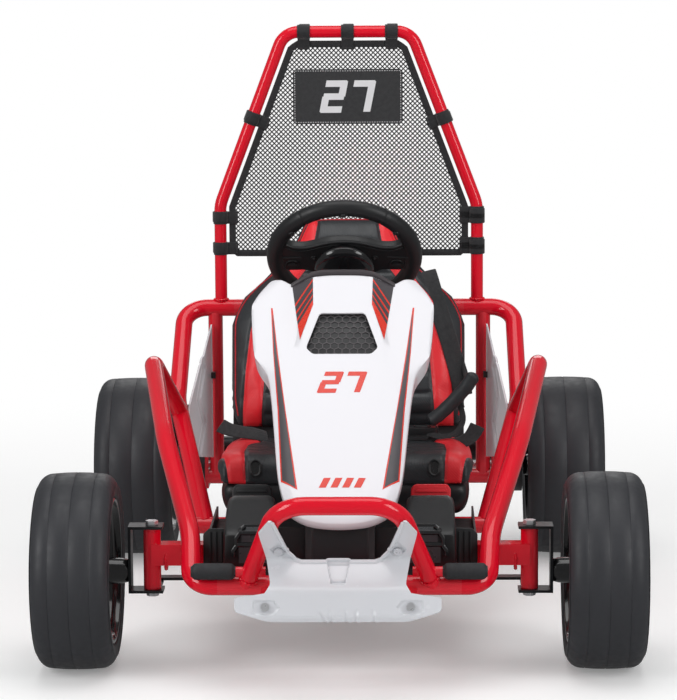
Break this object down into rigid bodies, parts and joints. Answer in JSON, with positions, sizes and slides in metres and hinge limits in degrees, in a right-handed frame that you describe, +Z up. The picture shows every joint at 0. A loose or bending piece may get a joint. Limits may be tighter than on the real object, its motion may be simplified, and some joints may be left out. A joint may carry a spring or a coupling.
{
  "type": "kart chassis",
  "caption": "Child's electric kart rolling chassis: bent tube frame with roll hoop, seat, fairing, pedals, steering and wheels.",
  "frame": {"origin": "middle of the kart's footprint on the ground, under the middle of its overall box", "axes": "+Z up, -Y towards the kart's front, +X towards the driver's left"},
  "size_m": [0.858, 1.148, 0.889],
  "materials": {
    "frame_red": "gloss",
    "tyre": "matte",
    "rim_black": "gloss",
    "shell_white": "gloss",
    "plastic_black": "satin",
    "trim_grey": "satin",
    "steel_black": "satin",
    "steel_bright": "brushed",
    "seat_leather": "embossed",
    "mesh_fabric": "woven",
    "webbing": "woven",
    "foam_black": "matte",
    "brake_red": "satin"
  },
  "bodies": {
    "chassis": {"backrest_cushion": "seat_leather", "battery_pack": "plastic_black", "bumper_brackets": "frame_red", "bumper_loop": "frame_red", "bumper_shield": "shell_white", "column_bracket": "frame_red", "dash_trim": "trim_grey", "drive_motors": "steel_black", "floor_frame": "frame_red", "floor_tub": "plastic_black", "foot_guard_left": "plastic_black", "foot_guard_right": "plastic_black", "foot_sleeves": "foam_black", "front_axle_beam": "frame_red", "front_cross_tube": "frame_red", "gearbox_left": "steel_black", "gearbox_right": "steel_black", "harness_buckle": "plastic_black", "headrest_net": "mesh_fabric", "hood_shell": "shell_white", "hoop_posts": "frame_red", "kingpin_bolts": "steel_bright", "lap_strap_left": "webbing", "lap_strap_right": "webbing", "net_straps": "webbing", "panel_clips": "plastic_black", "pedal_pins": "steel_black", "rear_axle": "steel_bright", "rear_axle_brackets": "frame_red", "rear_axle_nuts": "steel_bright", "roll_hoop": "frame_red", "seat_back_bar": "frame_red", "seat_cushion": "seat_leather", "seat_mounts": "frame_red", "seat_shell": "plastic_black", "shield_bolts": "steel_bright", "shoulder_strap": "webbing", "side_guard_left": "frame_red", "side_guard_right": "frame_red", "side_panel_left": "shell_white", "side_panel_right": "shell_white", "side_rail_left": "frame_red", "side_rail_right": "frame_red"},
    "steering": {"steering_column": "steel_black", "steering_wheel": "plastic_black", "steering_grip": "foam_black"},
    "horn": {"horn_button": "trim_grey"},
    "tie_rod": {"tie_rod": "steel_black"},
    "knuckle_left": {"knuckle_left": "steel_black"},
    "knuckle_right": {"knuckle_right": "steel_black"},
    "wheel_front_left": {"front_tyre_left": "tyre", "front_rim_left": "rim_black"},
    "wheel_front_right": {"front_tyre_right": "tyre", "front_rim_right": "rim_black"},
    "wheel_rear_left": {"rear_tyre_left": "tyre", "rear_rim_left": "rim_black"},
    "wheel_rear_right": {"rear_tyre_right": "tyre", "rear_rim_right": "rim_black"},
    "accelerator": {"accelerator_pedal": "plastic_black"},
    "brake": {"brake_pedal": "brake_red"}
  },
  "joints": [
    {"name": "steering_turn", "type": "hinge", "parent": "chassis", "child": "steering", "pos_m": [0, 0.026, 0.546], "axis": [0, 0.7547, 0.6561], "range_deg": [-40, 40]},
    {"name": "horn_press", "type": "slide", "parent": "steering", "child": "horn", "axis": [0, -0.7547, -0.6561], "range_m": [0, 0.0025], "stiffness_N_per_m": 800, "springref_m": -0.002},
    {"name": "knuckle_left_turn", "type": "hinge", "parent": "chassis", "child": "knuckle_left", "pos_m": [0.268, -0.374, 0.16], "axis": [0, 0, 1], "range_deg": [-25, 25]},
    {"name": "knuckle_right_turn", "type": "hinge", "parent": "chassis", "child": "knuckle_right", "pos_m": [-0.268, -0.374, 0.16], "axis": [0, 0, 1], "range_deg": [-25, 25]},
    {"name": "tie_rod_turn", "type": "hinge", "parent": "knuckle_left", "child": "tie_rod", "pos_m": [0.268, -0.314, 0.1165], "axis": [0, 0, 1], "range_deg": [-25, 25]},
    {"name": "wheel_front_left_spin", "type": "hinge", "parent": "knuckle_left", "child": "wheel_front_left", "pos_m": [0.374, -0.374, 0.14], "axis": [1, 0, 0], "continuous": true},
    {"name": "wheel_front_right_spin", "type": "hinge", "parent": "knuckle_right", "child": "wheel_front_right", "pos_m": [-0.374, -0.374, 0.14], "axis": [1, 0, 0], "continuous": true},
    {"name": "wheel_rear_left_spin", "type": "hinge", "parent": "chassis", "child": "wheel_rear_left", "pos_m": [0.357, 0.426, 0.148], "axis": [1, 0, 0], "continuous": true},
    {"name": "wheel_rear_right_spin", "type": "hinge", "parent": "chassis", "child": "wheel_rear_right", "pos_m": [-0.357, 0.426, 0.148], "axis": [1, 0, 0], "continuous": true},
    {"name": "accelerator_press", "type": "hinge", "parent": "chassis", "child": "accelerator", "pos_m": [-0.129, -0.312, 0.166], "axis": [1, 0, 0], "range_deg": [0, 18], "stiffness_Nm_per_rad": 3, "springref_deg": -5.73},
    {"name": "brake_press", "type": "hinge", "parent": "chassis", "child": "brake", "pos_m": [0.129, -0.312, 0.166], "axis": [1, 0, 0], "range_deg": [0, 18], "stiffness_Nm_per_rad": 3, "springref_deg": -5.73}
  ],
  "couplings": [
    {"joint": "knuckle_left_turn", "follows": "steering_turn", "ratio": 0.625},
    {"joint": "knuckle_right_turn", "follows": "steering_turn", "ratio": 0.625},
    {"joint": "tie_rod_turn", "follows": "steering_turn", "ratio": -0.625}
  ]
}
